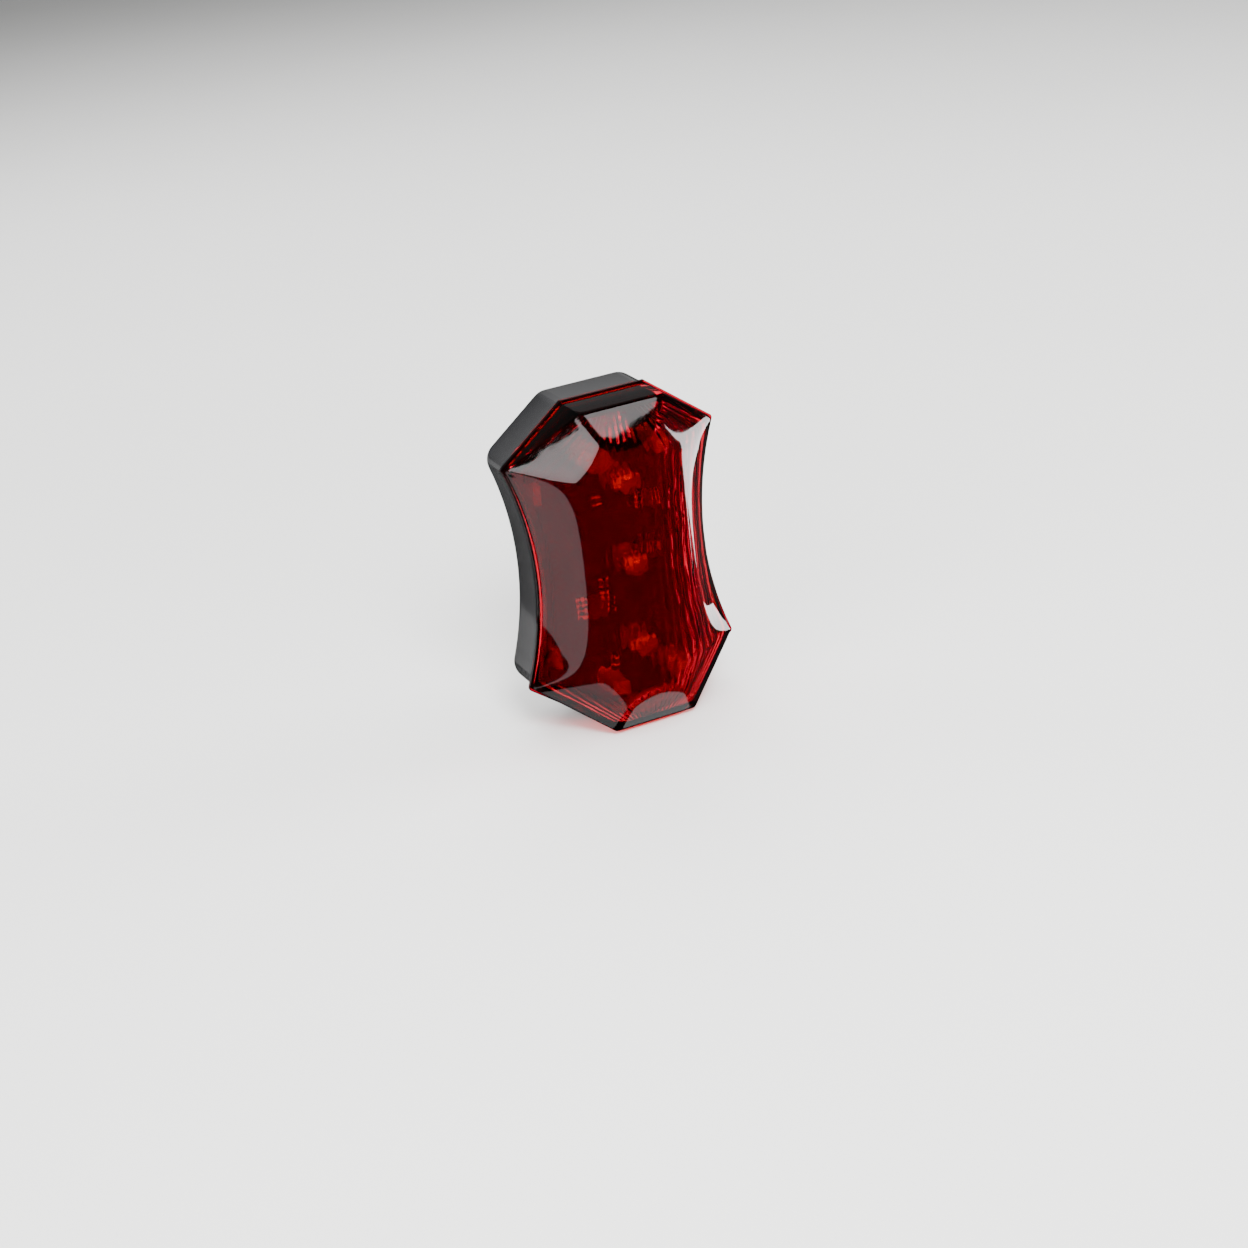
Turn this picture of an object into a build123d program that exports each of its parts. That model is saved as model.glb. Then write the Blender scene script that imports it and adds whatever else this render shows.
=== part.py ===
from build123d import *

import os
from math import asin, atan2, cos, hypot, sin, sqrt

os.makedirs("parts", exist_ok=True)

# Clip-on red safety light. X runs across, Z up as worn, and the lens faces -Y.
# The origin is the middle of the gap that the carrying band passes through.
# Depths inside the light are heights h above the front face of the lens flange, growing towards -Y.

# --- driving dimensions, in mm -------------------------------------------------------------------

# Two AAA cells side by side set the height and the depth of the housing.
CELL_R = 5.2
CELL_LENGTH = 44.5
CELL_TIP_R = 1.9
CELL_TIP_LENGTH = 1.2
CELL_EDGE_R = 0.4
CELL_GAP = 0.8
CELL_CLEAR = 0.15
SPRING_ROOM = 5.5
SPRING_WIRE = 0.3
SPRING_TURNS = 4.0
SPRING_FOOT_R = 3.0
SPRING_TAPER = -12
PLATE_THICK = 0.4
PLATE_SIZE = 8.4
PLATE_LOW = 2.0
RIB_THICK = 1.2
RIB_SIDE = 0.6
RIB_DROP = 1.0
KEEL_CLEAR = 0.15
KEEL_DROP = 2.5
END_ROOM = 10.1

# Lens rim: an eight-cornered outline with two concave sides.
RIM_HALF_WIDTH = 24.0
RIM_WAIST_IN = 4.5
RIM_CORNER_X = 14.6
RIM_CORNER_DROP = 11.2
RIM_CORNER_R = 0.8
FLANGE_THICK = 1.0
FLANGE_STEP = 0.5

# Lens front: a round crown that runs down to the rim, with facets at the ends, corners and sides.
LENS_WALL = 2.0
CROWN_HEIGHT = 12.9
CROWN_RADIUS = 20.6
SHOULDER_HEIGHT = 8.8
END_SLOPE = 0.5
CORNER_RISE = 0.72
CORNER_FALL = 0.18
SIDE_FACET_TOP = 12.0
SIDE_TOP_WAIST_SHARE = 0.5
SIDE_TOP_CORNER_SHARE = 0.3583

# Rear housing.
SEAL_THICK = 0.6
SEAL_WIDTH = 1.3
SEAL_INSET = 0.35
HOUSING_INSET = 0.6
HOUSING_WALL = 1.6
FLOOR_THICK = 1.5
HOUSING_CORNER_R = 4.0
BACK_ROUND = 3.5

# Circuit board and what stands on it.
BOARD_THICK = 1.2
BOARD_TOP = 0.6
BOARD_ROOM = 0.5
BOARD_WALL_SHARE = 1.7
BOARD_CORNER_R = 3.0
HOLE_CLEAR = 0.3
LED_R = 2.5
LED_RIM = 0.4
LED_RIM_THICK = 1.0
LED_GAP = 1.7
LED_PITCH = 18.0
LEAD_WIDTH = 0.5
LEAD_PITCH = 2.54
LEAD_PROUD = 0.25
LEAD_CLEAR = 0.1
BOSS_R = 2.7
BOSS_HOLE_R = 0.9
BOSS_HOLE_SPARE = 0.3
BOSS_X = 7.0
BOSS_FROM_END = 10.5
SCREW_LENGTH = 6.0
SCREW_HEAD_RIM = 1.0
SCREW_HEAD_THICK = 0.7
SCREW_SLOT_HALF = 0.25
SCREW_TO_CELL = 0.25
POST_SIZE = 3.0
COIL_R = 2.4
COIL_HEIGHT = 2.2
COIL_WINDOW = 0.55
COIL_WINDOW_DEPTH = 0.5
COIL_TO_LED = 0.4
COIL_Z = 1.0
CAPACITOR_SIZE = (3.6, 3.0, 1.8)
CAPACITOR_TO_LED = 1.5
CAPACITOR_Z = 11.5
CHIP_SIZE = (3.9, 4.9, 1.5)
CHIP_LIFT = 0.2
CHIP_X = -7.5
CHIP_Z = -9.0
CHIP_LEGS = 4
CHIP_LEG_PITCH = 1.27
CHIP_LEG_REACH = 1.0
CHIP_LEG_RISE = 0.8
CHIP_LEG_HALF = 0.2
RESISTOR_SIZE = (1.25, 2.0, 0.5)
RESISTOR_TO_LED = 1.7
RESISTOR_DROP = 4.6

# Snap legs of the lens.
LEG_FROM_WAIST = 2.9
LEG_FROM_CORNER = 6.1
LEG_WIDTH = 4.5
LEG_THICK = 1.2
LEG_DEPTH = 6.0
LEG_CLEAR = 0.4

# Push button and the switch that it presses.
BUTTON_R = 3.0
BUTTON_CLEAR = 0.15
BUTTON_PROUD = 0.9
BUTTON_DOME_SHARE = 0.8
BUTTON_TRAVEL = 0.7
BUTTON_BELOW_EDGE = 0.8
BUTTON_COLLAR = 1.1
BUTTON_COLLAR_THICK = 0.9
COLLAR_GAP = 0.05
STEM_R = 1.4
STEM_LENGTH = 0.9
SWITCH_WIDTH = 6.0
SWITCH_LENGTH = 3.2
SWITCH_WALL = 0.8
PLUNGER_R = 1.0
PLUNGER_CLEAR = 0.05
PLUNGER_PROUD = 0.6
PLUNGER_SOCKET = 0.8
PLUNGER_TRAVEL = 0.25
PLUNGER_SPARE = 0.1
PRESSED_GAP = 0.05

# Spring clip on the back.
BAND_GAP = 4.6
CLIP_HALF_WIDTH = 9.0
CLIP_THICK = 2.2
CLIP_TOP = 30.0
CLIP_BOTTOM = -27.5
CLIP_CORNER_R = 4.0
CLIP_EDGE_SHARE = 0.35
PIN_R = 1.25
PIN_CHAMFER = 0.25
PIN_Z = 19.0
PIN_CLEAR = 0.06
KNUCKLE_R = 2.3
KNUCKLE_WIDTH = 3.2
LUG_WIDTH = 2.2
LUG_CLEAR = 0.4
LUG_R = 2.9
WINDOW_HALF = 3.9
WINDOW_EDGE = 0.4
WINDOW_BELOW = 3.4
WINDOW_ABOVE = 6.2
TOE_HEIGHT = 3.4
TOE_UP = 0.8
TOE_OUT = 1.5
TOE_GAP = 0.1
TOE_ROOT = 0.5
PAD_THICK = 1.5
PAD_GROOVES = 4
PAD_GROOVE_HALF = 0.4
PAD_GROOVE_DEPTH = 0.5
THUMB_RIDGES = 4
THUMB_RIDGE_R = 0.6
THUMB_RIDGE_PITCH = 1.47
THUMB_RIDGE_FROM_TOP = 2.0
THUMB_RIDGE_IN = 3.0
CLIP_WIRE_R = 0.35
CLIP_WIRE_CLEAR = 0.02
CLIP_COIL_R = 2.0
CLIP_COIL_TURNS = 4.25
CLIP_COIL_PITCH = 0.8
CLIP_LEG_TOP = 27.6
CLIP_LEG_BEND_R = 0.9
CLIP_LEG_FROM_WINDOW = 0.8

# Room beyond the object for cutting shapes.
MARGIN = 1.0
REACH = 8.0
FORM_BASE = -4.0
BIG = 200.0

# --- places worked out from the sizes above ------------------------------------------------------

BAY_HALF = (CELL_LENGTH + SPRING_ROOM) / 2 + PLATE_THICK
RIM_HALF_HEIGHT = BAY_HALF + END_ROOM
RIM_CORNER_Z = RIM_HALF_HEIGHT - RIM_CORNER_DROP
RIM_END_HALF = RIM_HALF_WIDTH - RIM_CORNER_X
RIM_WAIST = RIM_HALF_WIDTH - RIM_WAIST_IN
SIDE_TOP_WAIST = RIM_WAIST * SIDE_TOP_WAIST_SHARE
SIDE_TOP_CORNER = RIM_HALF_WIDTH * SIDE_TOP_CORNER_SHARE

BOARD_UNDER = BOARD_TOP - BOARD_THICK
SEAL_TOP = -FLANGE_THICK
HOUSING_TOP = SEAL_TOP - SEAL_THICK
CELL_TOP = BOARD_UNDER - SCREW_HEAD_THICK - SCREW_TO_CELL
CELL_X = CELL_R + CELL_GAP / 2
CELL_H = CELL_TOP - CELL_R
HOUSING_FLOOR = CELL_H - CELL_R - CELL_CLEAR
HOUSING_BACK = HOUSING_FLOOR - FLOOR_THICK
BACK_Y = -BAND_GAP / 2
RIM_Y = BACK_Y + HOUSING_BACK

LED_RIM_R = LED_R + LED_RIM
BOARD_INSET = BOARD_ROOM + BOARD_WALL_SHARE * LENS_WALL
LED_HEIGHT = CROWN_HEIGHT - LENS_WALL - LED_GAP - BOARD_TOP
BOSS_Z = RIM_HALF_HEIGHT - BOSS_FROM_END
SCREW_HEAD_R = BOSS_HOLE_R + SCREW_HEAD_RIM
COIL_X = LED_RIM_R + COIL_TO_LED + COIL_R
CAPACITOR_X = LED_RIM_R + CAPACITOR_TO_LED + CAPACITOR_SIZE[0] / 2
RESISTOR_X = LED_RIM_R + RESISTOR_TO_LED
LEG_X = RIM_WAIST - LEG_FROM_WAIST
LEG_Z = RIM_CORNER_Z - LEG_FROM_CORNER

END_WALL_Z = RIM_HALF_HEIGHT - HOUSING_INSET
BUTTON_AXIS_H = HOUSING_TOP - BUTTON_R - BUTTON_BELOW_EDGE
COLLAR_Z = -(END_WALL_Z - HOUSING_WALL) + COLLAR_GAP
STEM_TIP_Z = COLLAR_Z + BUTTON_COLLAR_THICK + STEM_LENGTH
PLUNGER_TIP_Z = STEM_TIP_Z + BUTTON_TRAVEL - PLUNGER_TRAVEL + PRESSED_GAP
SWITCH_FACE_Z = PLUNGER_TIP_Z + PLUNGER_PROUD
SWITCH_UNDER = BUTTON_AXIS_H - PLUNGER_R - SWITCH_WALL

PIN_Y = BAND_GAP / 2 + CLIP_THICK - KNUCKLE_R
KNUCKLE_IN = WINDOW_HALF + WINDOW_EDGE
PAD_FACE_Y = BACK_Y + TOE_GAP
TOE_HALF = CLIP_HALF_WIDTH - CLIP_CORNER_R + TOE_OUT
TOE_LOW = CLIP_BOTTOM + TOE_UP
FRONT = Vector(0, -1, 0)


def depth(h):
    """The Y of height h above the flange."""
    return RIM_Y - h


# --- shape helpers -------------------------------------------------------------------------------


def block(x0, x1, y0, y1, z0, z1):
    """A box between two corners."""
    middle = Pos((x0 + x1) / 2, (y0 + y1) / 2, (z0 + z1) / 2)
    return middle * Box(abs(x1 - x0), abs(y1 - y0), abs(z1 - z0))


def rod_x(radius, x0, x1, y, z):
    """A cylinder along X."""
    return Pos((x0 + x1) / 2, y, z) * Rot(0, 90, 0) * Cylinder(radius, abs(x1 - x0))


def rod_z(radius, z0, z1, x, h):
    """A cylinder along Z, at height h."""
    return Pos(x, depth(h), (z0 + z1) / 2) * Cylinder(radius, abs(z1 - z0))


def stud(radius, h0, h1, x, z):
    """A cylinder that stands on the board's plane."""
    return Pos(x, depth((h0 + h1) / 2), z) * Rot(90, 0, 0) * Cylinder(radius, abs(h1 - h0))


def raised(face, h0, h1):
    """A flat outline, X across and Z up, thickened from height h0 to h1."""
    plane = Plane(origin=(0, depth(h0), 0), x_dir=(1, 0, 0), z_dir=(0, -1, 0))
    return extrude(plane * face, amount=h1 - h0, dir=FRONT)


def save(node, shape):
    """Write one node as a STEP file."""
    shape.label = node
    export_step(shape, "parts/" + node + ".step")


# --- the hourglass outline -----------------------------------------------------------------------


def hourglass(inset, corner_r):
    """The rim outline moved inwards by inset, with rounded corners."""
    w, a = RIM_HALF_WIDTH, RIM_CORNER_Z
    t, b = RIM_END_HALF, RIM_HALF_HEIGHT
    right = ThreePointArc((w, -a), (RIM_WAIST, 0), (w, a))
    top = Polyline((w, a), (t, b), (-t, b), (-w, a))
    left = ThreePointArc((-w, a), (-RIM_WAIST, 0), (-w, -a))
    bottom = Polyline((-w, -a), (-t, -b), (t, -b), (w, -a))
    face = make_face(right.edges() + top.edges() + left.edges() + bottom.edges())
    if inset:
        face = offset(face, -inset, kind=Kind.INTERSECTION)
    return fillet(face.vertices(), corner_r)


# --- lens ----------------------------------------------------------------------------------------


def crown_section(inset):
    """Round crown and its two tangent slopes, as a long bar along Z."""
    centre = CROWN_HEIGHT - CROWN_RADIUS
    reach = hypot(RIM_HALF_WIDTH, -centre)
    angle = asin(CROWN_RADIUS / reach) - atan2(-centre, RIM_HALF_WIDTH)
    radius = CROWN_RADIUS - inset
    tx, th = radius * sin(angle), centre + radius * cos(angle)
    ex = tx + (th - FORM_BASE) / sin(angle) * cos(angle)
    arc = ThreePointArc((-tx, th), (0, centre + radius), (tx, th))
    rest = Polyline((tx, th), (ex, FORM_BASE), (-ex, FORM_BASE), (-tx, th))
    plane = Plane(origin=(0, RIM_Y, 0), x_dir=(1, 0, 0), z_dir=(0, 0, -1))
    return extrude(plane * make_face(arc.edges() + rest.edges()), amount=BIG / 2, both=True)


def end_section(inset):
    """The two sloping end facets, as a bar along X."""
    drop = inset * sqrt(1 + END_SLOPE**2)
    top = CROWN_HEIGHT + MARGIN
    end = RIM_HALF_HEIGHT - FLANGE_STEP
    crest = end - (top + drop - SHOULDER_HEIGHT) / END_SLOPE
    far = end + REACH
    low = SHOULDER_HEIGHT - drop - END_SLOPE * REACH
    outline = Polyline(
        (-far, FORM_BASE), (-far, low), (-crest, top), (crest, top), (far, low), (far, FORM_BASE),
        (-far, FORM_BASE),
    )
    plane = Plane(origin=(0, RIM_Y, 0), x_dir=(0, 0, 1), z_dir=(1, 0, 0))
    return extrude(plane * make_face(outline.edges()), amount=BIG / 2, both=True)


def corner_cut(inset, side, end):
    """What a corner facet takes off."""
    normal = Vector(side * CORNER_RISE, -1, end * CORNER_FALL).normalized()
    at = Vector(side * RIM_HALF_WIDTH, RIM_Y, end * RIM_CORNER_Z) - normal * inset
    return Plane(origin=at, z_dir=normal) * Pos(0, 0, BIG / 2) * Box(BIG, BIG, BIG)


def side_line(rim_x, top_x, inset, h):
    """Where a side facet is at height h, on a line from the rim to the facet's top."""
    slope = (rim_x - top_x) / SIDE_FACET_TOP
    return rim_x - slope * h - inset * hypot(1, slope)


def side_cut(inset, side):
    """What a concave side facet takes off: a ruled surface between two arcs."""
    outer = side * (RIM_HALF_WIDTH + REACH)
    a = RIM_CORNER_Z
    faces = []
    for h in (FORM_BASE, CROWN_HEIGHT + 2 * MARGIN):
        waist = side * side_line(RIM_WAIST, SIDE_TOP_WAIST, inset, h)
        corner = side * side_line(RIM_HALF_WIDTH, SIDE_TOP_CORNER, inset, h)
        arc = ThreePointArc((corner, -a), (waist, 0), (corner, a))
        rest = Polyline((corner, a), (outer, a), (outer, -a), (corner, -a))
        plane = Plane(origin=(0, depth(h), 0), x_dir=(1, 0, 0), z_dir=(0, -1, 0))
        faces.append(plane * make_face(arc.edges() + rest.edges()))
    return loft(faces, ruled=True)


def lens_form(inset, base, corner_r):
    """The solid faceted form of the lens, with every face moved inwards by inset."""
    form = raised(hourglass(FLANGE_STEP + inset, corner_r), base, CROWN_HEIGHT + MARGIN)
    form = form & crown_section(inset) & end_section(inset)
    for side in (-1, 1):
        for end in (-1, 1):
            form = form - corner_cut(inset, side, end)
        form = form - side_cut(inset, side)
    return form


def boss_places():
    """The two screw bosses, at opposite corners of the board."""
    return [(BOSS_X, -BOSS_Z), (-BOSS_X, BOSS_Z)]


def lens():
    shell = raised(hourglass(0, RIM_CORNER_R), -FLANGE_THICK, 0) + lens_form(0, 0, RIM_CORNER_R)
    shell = shell - lens_form(LENS_WALL, -FLANGE_THICK - MARGIN, RIM_CORNER_R)
    limit = lens_form(LENS_WALL / 2, -LEG_DEPTH - MARGIN, RIM_CORNER_R)
    fittings = []
    for x, z in boss_places():
        fittings.append(stud(BOSS_R, BOARD_TOP, CROWN_HEIGHT, x, z))
        post = block(
            -x - POST_SIZE / 2, -x + POST_SIZE / 2, depth(BOARD_TOP), depth(CROWN_HEIGHT),
            z - POST_SIZE / 2, z + POST_SIZE / 2,
        )
        fittings.append(post)
    for side in (-1, 1):
        for end in (-1, 1):
            leg = block(
                side * LEG_X, side * (LEG_X + LEG_THICK), depth(-LEG_DEPTH), depth(CROWN_HEIGHT),
                end * (LEG_Z - LEG_WIDTH / 2), end * (LEG_Z + LEG_WIDTH / 2),
            )
            fittings.append(leg)
    for fitting in fittings:
        shell = shell + (fitting & limit)
    for x, z in boss_places():
        hole_top = BOARD_UNDER + SCREW_LENGTH + BOSS_HOLE_SPARE
        shell = shell - stud(BOSS_HOLE_R, BOARD_TOP - MARGIN, hole_top, x, z)
    return shell


def lens_seal():
    ring = hourglass(SEAL_INSET, RIM_CORNER_R)
    hole = hourglass(SEAL_INSET + SEAL_WIDTH, RIM_CORNER_R)
    return raised(ring, HOUSING_TOP, SEAL_TOP) - raised(hole, HOUSING_TOP - MARGIN, SEAL_TOP + MARGIN)


# --- housing -------------------------------------------------------------------------------------


def hinge_lug(side):
    """One ear that holds the end of the hinge pin."""
    x0 = side * (CLIP_HALF_WIDTH + LUG_CLEAR)
    x1 = x0 + side * LUG_WIDTH
    foot = block(x0, x1, BACK_Y - FLOOR_THICK / 2, PIN_Y, PIN_Z - LUG_R, PIN_Z + LUG_R)
    return foot + rod_x(LUG_R, x0, x1, PIN_Y, PIN_Z)


def bay_ribs():
    """Cross ribs that hold the contact plates, and the low rib between the cells."""
    wide = CELL_X + CELL_R + RIB_SIDE
    top = CELL_H + CELL_R - RIB_DROP
    root = HOUSING_FLOOR - FLOOR_THICK / 2
    ribs = []
    for end in (-1, 1):
        ribs.append(
            block(
                -wide, wide, depth(root), depth(top),
                end * BAY_HALF, end * (BAY_HALF + RIB_THICK),
            )
        )
    half = CELL_GAP / 2 - KEEL_CLEAR
    ribs.append(block(-half, half, depth(root), depth(CELL_H - KEEL_DROP), -BAY_HALF, BAY_HALF))
    return ribs


def housing():
    shell = raised(hourglass(HOUSING_INSET, HOUSING_CORNER_R), HOUSING_BACK, HOUSING_TOP)
    back = shell.faces().sort_by(Axis.Y)[-1]
    shell = fillet(back.edges(), BACK_ROUND)
    inner = hourglass(HOUSING_INSET + HOUSING_WALL, HOUSING_CORNER_R - HOUSING_WALL)
    room = raised(inner, HOUSING_FLOOR, HOUSING_TOP + MARGIN)
    shell = shell - room
    for rib in bay_ribs():
        shell = shell + rib
    for side in (-1, 1):
        shell = shell + hinge_lug(side)
    shell = shell - rod_x(PIN_R, -BIG / 2, BIG / 2, PIN_Y, PIN_Z)
    return shell - rod_z(
        BUTTON_R + BUTTON_CLEAR, -END_WALL_Z - MARGIN, COLLAR_Z + BUTTON_COLLAR_THICK, 0, BUTTON_AXIS_H
    )


# --- circuit board and its components ------------------------------------------------------------


def led_places():
    return {"led_top": LED_PITCH, "led_middle": 0.0, "led_bottom": -LED_PITCH}


def circuit_board():
    board = raised(hourglass(BOARD_INSET, BOARD_CORNER_R), BOARD_UNDER, BOARD_TOP)
    for x, z in boss_places():
        board = board - stud(BOSS_HOLE_R + HOLE_CLEAR, BOARD_UNDER - MARGIN, BOARD_TOP + MARGIN, x, z)
    for z in led_places().values():
        for side in (-1, 1):
            half = LEAD_WIDTH / 2 + LEAD_CLEAR
            x = side * LEAD_PITCH / 2
            board = board - block(
                x - half, x + half, depth(BOARD_UNDER - MARGIN), depth(BOARD_TOP + MARGIN),
                z - half, z + half,
            )
    for side in (-1, 1):
        for end in (-1, 1):
            board = board - block(
                side * (LEG_X - LEG_CLEAR), side * RIM_HALF_WIDTH,
                depth(BOARD_UNDER - MARGIN), depth(BOARD_TOP + MARGIN),
                end * (LEG_Z - LEG_WIDTH / 2 - LEG_CLEAR), end * (LEG_Z + LEG_WIDTH / 2 + LEG_CLEAR),
            )
    return board


def led(z):
    """A 5 mm lamp body: collar, barrel and domed end."""
    rim = stud(LED_RIM_R, BOARD_TOP, BOARD_TOP + LED_RIM_THICK, 0, z)
    dome_h = BOARD_TOP + LED_HEIGHT - LED_R
    barrel = stud(LED_R, BOARD_TOP, dome_h, 0, z)
    dome = Pos(0, depth(dome_h), z) * Sphere(LED_R)
    return rim + barrel + dome


def led_leads():
    """Two square leads under each lamp, through the board."""
    half = LEAD_WIDTH / 2
    leads = []
    for z in led_places().values():
        for side in (-1, 1):
            x = side * LEAD_PITCH / 2
            leads.append(
                block(
                    x - half, x + half, depth(BOARD_UNDER - LEAD_PROUD), depth(BOARD_TOP), z - half, z + half
                )
            )
    return Compound(children=leads)


def board_screws():
    """Screws that hold the board to the lens bosses."""
    screws = []
    for x, z in boss_places():
        shank = stud(BOSS_HOLE_R, BOARD_UNDER, BOARD_UNDER + SCREW_LENGTH, x, z)
        head = stud(SCREW_HEAD_R, BOARD_UNDER - SCREW_HEAD_THICK, BOARD_UNDER, x, z)
        slot = block(
            x - SCREW_HEAD_R, x + SCREW_HEAD_R, depth(BOARD_UNDER - SCREW_HEAD_THICK - MARGIN),
            depth(BOARD_UNDER - SCREW_HEAD_THICK / 2), z - SCREW_SLOT_HALF, z + SCREW_SLOT_HALF,
        )
        screws.append(shank + head - slot)
    return Compound(children=screws)


def on_board(x, z, size):
    """A flat component that sits on the front of the board."""
    width, length, thick = size
    return block(
        x - width / 2, x + width / 2, depth(BOARD_TOP), depth(BOARD_TOP + thick),
        z - length / 2, z + length / 2,
    )


def driver_chip():
    width, length, thick = CHIP_SIZE
    return block(
        CHIP_X - width / 2, CHIP_X + width / 2, depth(BOARD_TOP + CHIP_LIFT), depth(BOARD_TOP + thick),
        CHIP_Z - length / 2, CHIP_Z + length / 2,
    )


def chip_legs():
    """Bent legs down both sides of the driver chip."""
    legs = []
    thick, half = CHIP_LIFT, CHIP_LEG_HALF
    for side in (-1, 1):
        root = CHIP_X + side * CHIP_SIZE[0] / 2
        for n in range(CHIP_LEGS):
            z = CHIP_Z + (n - (CHIP_LEGS - 1) / 2) * CHIP_LEG_PITCH
            foot = block(
                root, root + side * CHIP_LEG_REACH, depth(BOARD_TOP), depth(BOARD_TOP + thick),
                z - half, z + half,
            )
            rise = block(
                root, root + side * thick, depth(BOARD_TOP), depth(BOARD_TOP + CHIP_LEG_RISE),
                z - half, z + half,
            )
            legs.append(foot + rise)
    return Compound(children=legs)


def resistors():
    """One dropping resistor below each lamp."""
    return Compound(
        children=[on_board(-RESISTOR_X, z - RESISTOR_DROP, RESISTOR_SIZE) for z in led_places().values()]
    )


def power_coil():
    """Round wound coil with a ring-shaped top."""
    top = BOARD_TOP + COIL_HEIGHT
    body = stud(COIL_R, BOARD_TOP, top, COIL_X, COIL_Z)
    return body - stud(COIL_R * COIL_WINDOW, top - COIL_WINDOW_DEPTH, top + MARGIN, COIL_X, COIL_Z)


# --- switch and button ---------------------------------------------------------------------------


def switch_body():
    body = block(
        -SWITCH_WIDTH / 2, SWITCH_WIDTH / 2, depth(SWITCH_UNDER), depth(BOARD_UNDER),
        SWITCH_FACE_Z, SWITCH_FACE_Z + SWITCH_LENGTH,
    )
    bore_end = SWITCH_FACE_Z + PLUNGER_SOCKET + PLUNGER_TRAVEL + PLUNGER_SPARE
    return body - rod_z(PLUNGER_R + PLUNGER_CLEAR, SWITCH_FACE_Z - MARGIN, bore_end, 0, BUTTON_AXIS_H)


def switch_plunger():
    return rod_z(PLUNGER_R, PLUNGER_TIP_Z, SWITCH_FACE_Z + PLUNGER_SOCKET, 0, BUTTON_AXIS_H)


def button():
    """Rubber button: a domed head, a collar inside the wall and a stem."""
    outside = -END_WALL_Z - BUTTON_PROUD
    head = rod_z(BUTTON_R, outside, COLLAR_Z + BUTTON_COLLAR_THICK, 0, BUTTON_AXIS_H)
    outer_edge = head.faces().sort_by(Axis.Z)[0].edges()
    head = fillet(outer_edge, BUTTON_DOME_SHARE * BUTTON_PROUD)
    collar = rod_z(BUTTON_R + BUTTON_COLLAR, COLLAR_Z, COLLAR_Z + BUTTON_COLLAR_THICK, 0, BUTTON_AXIS_H)
    stem = rod_z(STEM_R, COLLAR_Z, STEM_TIP_Z, 0, BUTTON_AXIS_H)
    return head + collar + stem


# --- cells and contacts --------------------------------------------------------------------------


def cell(side):
    """One AAA cell. The left one has its tip up, the right one down."""
    tip_end = -side * (BAY_HALF - PLATE_THICK)
    can_top = tip_end + side * CELL_TIP_LENGTH
    can_end = tip_end + side * CELL_LENGTH
    can = rod_z(CELL_R, can_top, can_end, side * CELL_X, CELL_H)
    can = fillet(can.edges().filter_by(GeomType.CIRCLE), CELL_EDGE_R)
    return can + rod_z(CELL_TIP_R, can_top, tip_end, side * CELL_X, CELL_H)


def contact_springs():
    """A tapered coil spring at the flat end of each cell."""
    springs = []
    height = SPRING_ROOM - 2 * SPRING_WIRE
    line = Helix(height / SPRING_TURNS, height, SPRING_FOOT_R, cone_angle=SPRING_TAPER)
    wire = sweep(Plane(line @ 0, z_dir=line % 0) * Circle(SPRING_WIRE), path=line)
    for side in (-1, 1):
        foot = side * (BAY_HALF - PLATE_THICK - SPRING_WIRE)
        turn = Rot(0, 0, 0) if side < 0 else Rot(180, 0, 0)
        springs.append(Pos(side * CELL_X, depth(CELL_H), foot) * turn * wire)
    return Compound(children=springs)


def contact_plates():
    """Plated strips behind the cell ends: two single ones above and one bridge below."""
    plates = []
    half = PLATE_SIZE / 2
    low, high = CELL_H - half, CELL_H + half - SPRING_WIRE
    for side in (-1, 1):
        x = side * CELL_X
        plates.append(block(x - half, x + half, depth(low), depth(high), BAY_HALF - PLATE_THICK, BAY_HALF))
    bridge = block(
        -CELL_X - half, CELL_X + half, depth(CELL_H - PLATE_LOW), depth(high),
        -BAY_HALF, PLATE_THICK - BAY_HALF,
    )
    plates.append(bridge)
    return Compound(children=plates)


# --- clip ----------------------------------------------------------------------------------------


def clip_lever():
    """The clip's plate with its knuckles, window, toe and thumb ridges."""
    inner, outer = BAND_GAP / 2, BAND_GAP / 2 + CLIP_THICK
    middle = (CLIP_TOP + CLIP_BOTTOM) / 2
    plate = Pos(0, middle) * RectangleRounded(2 * CLIP_HALF_WIDTH, CLIP_TOP - CLIP_BOTTOM, CLIP_CORNER_R)
    plane = Plane(origin=(0, outer, 0), x_dir=(1, 0, 0), z_dir=(0, -1, 0))
    lever = extrude(plane * plate, amount=outer - inner, dir=FRONT)
    outer_edges = lever.faces().sort_by(Axis.Y)[-1].edges()
    lever = fillet(outer_edges, CLIP_THICK * CLIP_EDGE_SHARE)
    for side in (-1, 1):
        lever = lever + rod_x(
            KNUCKLE_R, side * KNUCKLE_IN, side * (KNUCKLE_IN + KNUCKLE_WIDTH), PIN_Y, PIN_Z
        )
    lever = lever - block(
        -WINDOW_HALF, WINDOW_HALF, inner - KNUCKLE_R, outer + MARGIN,
        PIN_Z - WINDOW_BELOW, PIN_Z + WINDOW_ABOVE,
    )
    lever = lever + block(
        -TOE_HALF, TOE_HALF, PAD_FACE_Y + PAD_THICK, inner + TOE_ROOT, TOE_LOW, TOE_LOW + TOE_HEIGHT
    )
    half = CLIP_HALF_WIDTH - THUMB_RIDGE_IN
    for n in range(THUMB_RIDGES):
        z = CLIP_TOP - THUMB_RIDGE_FROM_TOP - n * THUMB_RIDGE_PITCH
        lever = lever + rod_x(THUMB_RIDGE_R, -half, half, outer, z)
    return lever - rod_x(PIN_R + PIN_CLEAR, -BIG / 2, BIG / 2, PIN_Y, PIN_Z)


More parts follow.
